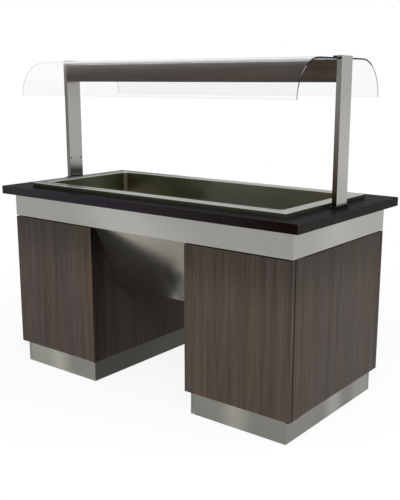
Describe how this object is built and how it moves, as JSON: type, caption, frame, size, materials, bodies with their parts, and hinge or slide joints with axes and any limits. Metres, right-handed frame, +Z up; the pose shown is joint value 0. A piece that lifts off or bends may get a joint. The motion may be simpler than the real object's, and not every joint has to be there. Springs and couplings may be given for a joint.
{
  "type": "heated salad bar",
  "caption": "Free-standing heated buffet bar with a stone worktop over cupboard pedestals, a heated well and a lamp beam under an arched clear canopy.",
  "frame": {"origin": "on the floor under the middle of the worktop", "axes": "+X along the worktop towards the right end, +Y from the front to the rear, +Z up"},
  "size_m": [1.664, 0.84, 1.492],
  "materials": {
    "granite": "polished black granite",
    "band_steel": "satin stainless, grain along the band",
    "rim_steel": "satin stainless",
    "tank_steel": "satin stainless, drawn",
    "plinth_steel": "satin stainless",
    "housing_steel": "bright stainless sheet",
    "post_steel": "satin stainless, upright grain",
    "frame_steel": "mill finish steel",
    "fixing_steel": "zinc plated",
    "tray_steel": "galvanised sheet",
    "element_steel": "heat-tinted sheath",
    "reflector": "bright aluminium",
    "dark_laminate": "dark wood laminate, upright grain",
    "beam_laminate": "dark wood laminate, grain along the beam",
    "board_interior": "melamine-faced board",
    "packer_board": "black spacer strip",
    "canopy_clear": "clear bent sheet, polished edges",
    "lamp_pane": "toughened pane",
    "quartz": "quartz tube",
    "ceramic": "unglazed ceramic",
    "mineral_wool": "mineral wool board",
    "silicone": "silicone",
    "gasket": "soft strip",
    "black_plastic": "fine texture",
    "knob_plastic": "fine texture",
    "rocker_plastic": "smooth",
    "grey_plastic": "smooth",
    "lens": "clear red",
    "brass": "plated brass",
    "lever": "dipped sleeve grip"
  },
  "bodies": {
    "counter": {"adjusting_feet": "black_plastic", "band_packers": "packer_board", "beam_boards": "beam_laminate", "beam_core": "frame_steel", "canopy_clamps": "black_plastic", "canopy_gaskets": "gasket", "canopy_glass": "canopy_clear", "control_housing": "tray_steel", "cross_members": "frame_steel", "drain_outlet": "frame_steel", "drain_pipe": "frame_steel", "drain_strainer": "frame_steel", "drain_valve_body": "brass", "element_terminals": "ceramic", "fascia_band": "band_steel", "gantry_bolts": "fixing_steel", "gantry_posts": "post_steel", "heat_lamps": "quartz", "heater_elements": "element_steel", "heater_tray": "tray_steel", "hinge_leaves": "fixing_steel", "inner_boards": "board_interior", "junction_box": "grey_plastic", "lamp_glass": "lamp_pane", "lamp_holders": "ceramic", "lamp_reflector": "reflector", "left_side_boards": "dark_laminate", "leg_sockets": "black_plastic", "pilot_lamp": "lens", "plinth_front_sheets": "plinth_steel", "plinth_rear_sheets": "plinth_steel", "post_brackets": "frame_steel", "post_collars": "black_plastic", "post_screws": "fixing_steel", "post_spigots": "frame_steel", "push_latches": "grey_plastic", "rear_panels": "dark_laminate", "right_side_boards": "dark_laminate", "rim_seal": "silicone", "shelf_pins": "fixing_steel", "shelves": "board_interior", "supply_conduit": "grey_plastic", "supply_gland": "black_plastic", "switch_bodies": "black_plastic", "tank_insulation": "mineral_wool", "thermostat_body": "grey_plastic", "tray_straps": "tray_steel", "underbody_housing": "housing_steel", "well_rim": "rim_steel", "well_tank": "tank_steel", "worktop": "granite", "worktop_pads": "silicone"},
    "left_door": {"left_door": "dark_laminate", "left_door_fittings": "fixing_steel"},
    "right_door": {"right_door": "dark_laminate", "right_door_fittings": "fixing_steel"},
    "thermostat_knob": {"thermostat_knob": "knob_plastic"},
    "heat_rocker": {"heat_rocker": "rocker_plastic"},
    "lamp_rocker": {"lamp_rocker": "rocker_plastic"},
    "drain_valve_lever": {"drain_valve_lever": "lever"}
  },
  "joints": [
    {"name": "left_door_hinge", "type": "hinge", "parent": "counter", "child": "left_door", "pos_m": [-0.279, -0.368, 0.431], "axis": [0, 0, 1], "range_deg": [0, 110]},
    {"name": "right_door_hinge", "type": "hinge", "parent": "counter", "child": "right_door", "pos_m": [0.78, -0.368, 0.431], "axis": [0, 0, 1], "range_deg": [0, 110]},
    {"name": "thermostat_turn", "type": "hinge", "parent": "counter", "child": "thermostat_knob", "pos_m": [0.47, 0.38, 0.809], "axis": [0, -1, 0], "range_deg": [0, 270]},
    {"name": "heat_rocker_tilt", "type": "hinge", "parent": "counter", "child": "heat_rocker", "pos_m": [0.54, 0.372, 0.809], "axis": [-1, 0, 0], "range_deg": [0, 16]},
    {"name": "lamp_rocker_tilt", "type": "hinge", "parent": "counter", "child": "lamp_rocker", "pos_m": [0.59, 0.372, 0.809], "axis": [-1, 0, 0], "range_deg": [0, 16]},
    {"name": "drain_valve_turn", "type": "hinge", "parent": "counter", "child": "drain_valve_lever", "pos_m": [0, 0.03, 0.4], "axis": [0, 1, 0], "range_deg": [0, 90]}
  ]
}
